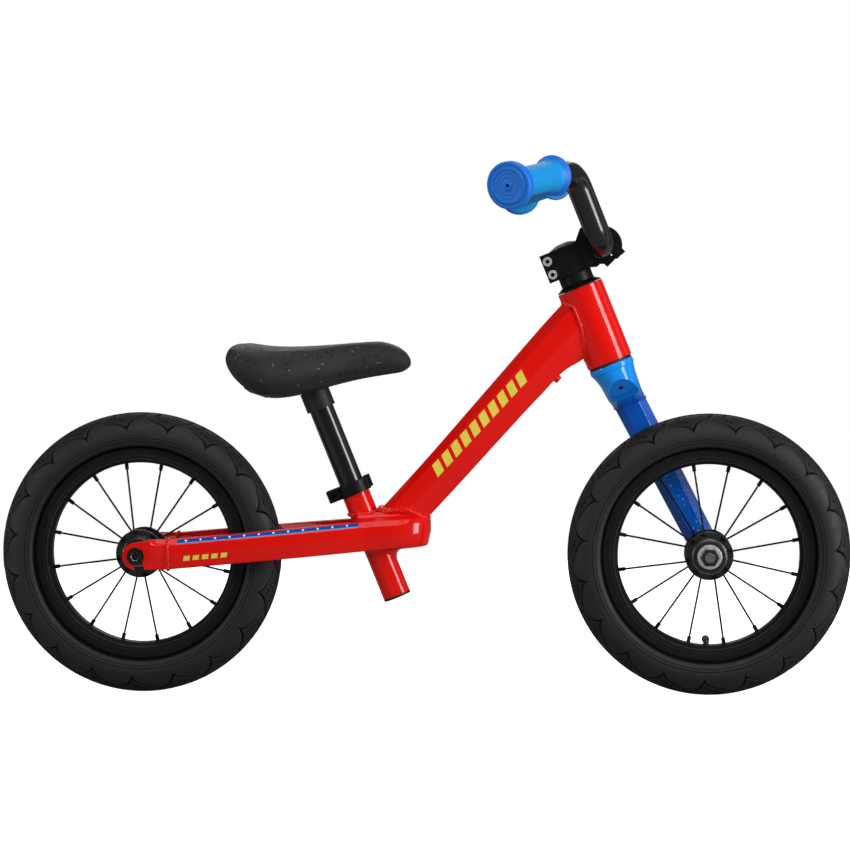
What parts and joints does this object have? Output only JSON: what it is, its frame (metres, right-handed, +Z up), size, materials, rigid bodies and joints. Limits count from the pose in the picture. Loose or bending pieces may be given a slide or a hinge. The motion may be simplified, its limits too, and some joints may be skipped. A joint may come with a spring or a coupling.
{
  "type": "balance bike",
  "caption": "Child's balance bike with a rigid frame, one-sided fork, free-turning spoked wheels, riser handlebar and height-adjustable saddle.",
  "frame": {"origin": "on the ground under the middle of the bike, midway between the axles, at the bottom centre of the bounding box", "axes": "+X forward, +Y to the rider's left, +Z up"},
  "size_m": [0.8829, 0.4464, 0.5558],
  "materials": {
    "frame_paint": "gloss red paint under clear coat",
    "fork_paint": "gloss blue paint under clear coat",
    "black_alloy": "black anodised and painted alloy",
    "black_steel": "gloss black paint",
    "bright_steel": "zinc-plated steel",
    "bearing_steel": "ground steel",
    "bare_alloy": "satin",
    "tyre_rubber": "matt black rubber",
    "tube_rubber": "matt black rubber",
    "grip_rubber": "satin blue rubber",
    "saddle_vinyl": "fine-grained black vinyl",
    "moulded_plastic": "matt black plastic"
  },
  "bodies": {
    "frame": {"head_tube": "frame_paint", "main_tube": "frame_paint", "seat_tube": "frame_paint", "yoke": "frame_paint", "stay_right": "frame_paint", "stay_left": "frame_paint", "dropout_right": "frame_paint", "dropout_left": "frame_paint", "seat_clamp": "black_alloy", "seat_clamp_bolt": "black_steel", "seat_tube_plug": "moulded_plastic", "headset_outer_races": "bearing_steel", "rear_axle": "bright_steel", "rear_axle_bolts": "black_steel", "rear_axle_washers": "black_steel", "rear_axle_spacers": "bare_alloy", "rear_bearing_inner_rings": "bearing_steel"},
    "fork": {"steerer": "bare_alloy", "fork_crown": "fork_paint", "fork_leg": "fork_paint", "front_stub_axle": "bright_steel", "front_axle_nut": "bright_steel", "front_axle_washer": "bright_steel", "front_bearing_inner_rings": "bearing_steel", "headset_inner_races": "bearing_steel", "headset_balls": "bearing_steel", "headset_lower_seal": "moulded_plastic", "headset_top_cover": "black_alloy", "headset_spacer": "black_alloy", "stem": "black_alloy", "stem_faceplate": "black_alloy", "stem_faceplate_bolts": "black_steel", "stem_pinch_bolts": "bright_steel", "top_cap": "black_alloy", "top_cap_bolt": "black_steel", "star_nut": "bearing_steel"},
    "handlebar": {"handlebar": "black_alloy", "grip_right": "grip_rubber", "grip_left": "grip_rubber"},
    "seat": {"seatpost": "black_alloy", "saddle_base": "moulded_plastic", "saddle_cover": "saddle_vinyl"},
    "front_wheel": {"front_tyre": "tyre_rubber", "front_inner_tube": "tube_rubber", "front_rim": "black_alloy", "front_spokes": "black_steel", "front_nipples": "black_steel", "front_hub": "black_alloy", "front_bearing_outer_rings": "bearing_steel", "front_bearing_balls": "bearing_steel", "front_valve": "black_steel"},
    "rear_wheel": {"rear_tyre": "tyre_rubber", "rear_inner_tube": "tube_rubber", "rear_rim": "black_alloy", "rear_spokes": "black_steel", "rear_nipples": "black_steel", "rear_hub": "black_alloy", "rear_bearing_outer_rings": "bearing_steel", "rear_bearing_balls": "bearing_steel", "rear_valve": "black_steel"}
  },
  "joints": [
    {"name": "steering", "type": "hinge", "parent": "frame", "child": "fork", "pos_m": [0.19218, 0, 0.34601], "axis": [-0.3746, 0, 0.9272], "continuous": true},
    {"name": "front_wheel_spin", "type": "hinge", "parent": "fork", "child": "front_wheel", "pos_m": [0.295, 0, 0.1465], "axis": [0, 1, 0], "continuous": true},
    {"name": "rear_wheel_spin", "type": "hinge", "parent": "frame", "child": "rear_wheel", "pos_m": [-0.295, 0, 0.1465], "axis": [0, 1, 0], "continuous": true},
    {"name": "seat_height", "type": "slide", "parent": "frame", "child": "seat", "axis": [-0.3746, 0, 0.9272], "range_m": [-0.045, 0.025]},
    {"name": "handlebar_tilt", "type": "hinge", "parent": "fork", "child": "handlebar", "pos_m": [0.18404, 0, 0.466], "axis": [0, 1, 0], "range_deg": [-20, 20]}
  ]
}
